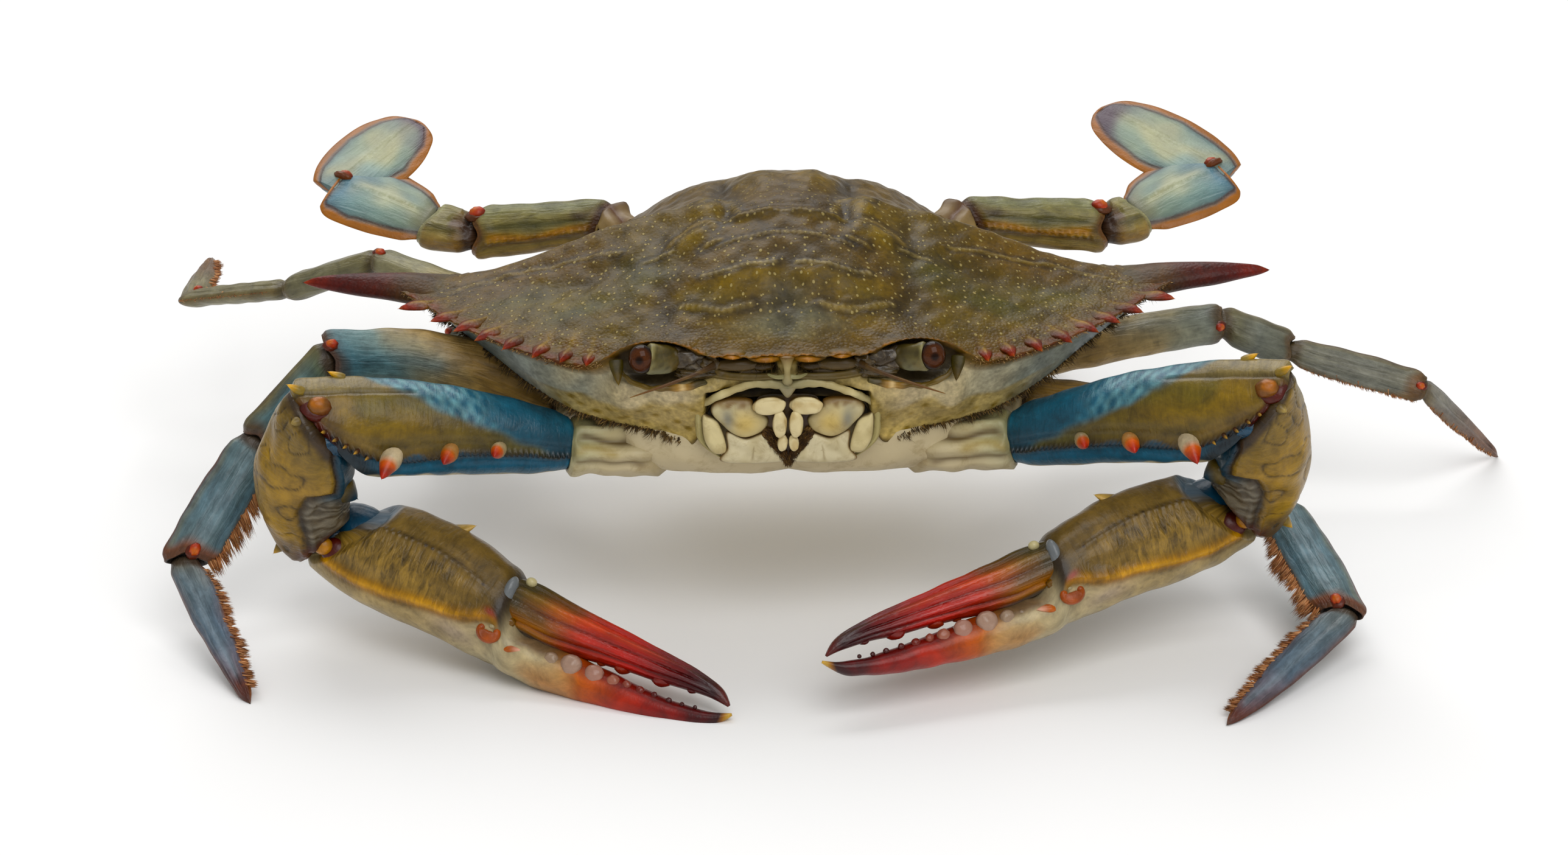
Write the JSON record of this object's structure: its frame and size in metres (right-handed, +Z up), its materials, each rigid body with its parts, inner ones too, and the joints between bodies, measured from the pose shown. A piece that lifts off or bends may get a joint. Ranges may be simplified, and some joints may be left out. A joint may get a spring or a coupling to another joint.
{
  "type": "blue crab",
  "caption": "Life-size still blue crab, standing with its claws spread, with a broad spined shell, walking legs and paddle-shaped swimming legs at the rear.",
  "frame": {"origin": "centre of the crab's bounding box in plan, at floor level", "axes": "-Y is the way the crab faces, -X its right side, +Z up; the crab is widest along X"},
  "size_m": [0.2338, 0.1486, 0.0649],
  "materials": {
    "back_shell": "olive brown shell, satin",
    "pale_shell": "cream underside shell, satin",
    "eye_lens": "dark red brown, glossy",
    "feeler": "brown feeler, satin",
    "claw_shell": "olive and blue claw shell, satin",
    "red_tip": "red finger shell, satin",
    "leg_shell": "blue grey leg shell, satin",
    "paddle_shell": "pale green swimming leg shell, satin"
  },
  "bodies": {
    "root": {"abdomen": "pale_shell", "antenna_left": "feeler", "antenna_right": "feeler", "carapace": "back_shell", "claw_left_base": "pale_shell", "claw_left_carpus": "claw_shell", "claw_left_finger": "red_tip", "claw_left_merus": "claw_shell", "claw_left_palm": "claw_shell", "claw_right_base": "pale_shell", "claw_right_carpus": "claw_shell", "claw_right_finger": "red_tip", "claw_right_merus": "claw_shell", "claw_right_palm": "claw_shell", "eye_left": "eye_lens", "eye_right": "eye_lens", "eyestalk_left": "pale_shell", "eyestalk_right": "pale_shell", "leg2_left_carpus": "leg_shell", "leg2_left_dactyl": "leg_shell", "leg2_left_merus": "leg_shell", "leg2_left_propodus": "leg_shell", "leg2_right_carpus": "leg_shell", "leg2_right_dactyl": "leg_shell", "leg2_right_merus": "leg_shell", "leg2_right_propodus": "leg_shell", "leg3_left_carpus": "leg_shell", "leg3_left_dactyl": "leg_shell", "leg3_left_merus": "leg_shell", "leg3_left_propodus": "leg_shell", "leg3_right_carpus": "leg_shell", "leg3_right_dactyl": "leg_shell", "leg3_right_merus": "leg_shell", "leg3_right_propodus": "leg_shell", "leg4_left_carpus": "leg_shell", "leg4_left_dactyl": "leg_shell", "leg4_left_merus": "leg_shell", "leg4_left_propodus": "leg_shell", "leg4_right_carpus": "leg_shell", "leg4_right_dactyl": "leg_shell", "leg4_right_merus": "leg_shell", "leg4_right_propodus": "leg_shell", "maxilliped_left": "pale_shell", "maxilliped_right": "pale_shell", "paddle_left_carpus": "leg_shell", "paddle_left_dactyl": "paddle_shell", "paddle_left_merus": "leg_shell", "paddle_left_propodus": "paddle_shell", "paddle_right_carpus": "leg_shell", "paddle_right_dactyl": "paddle_shell", "paddle_right_merus": "leg_shell", "paddle_right_propodus": "paddle_shell", "thorax": "pale_shell"}
  },
  "joints": []
}
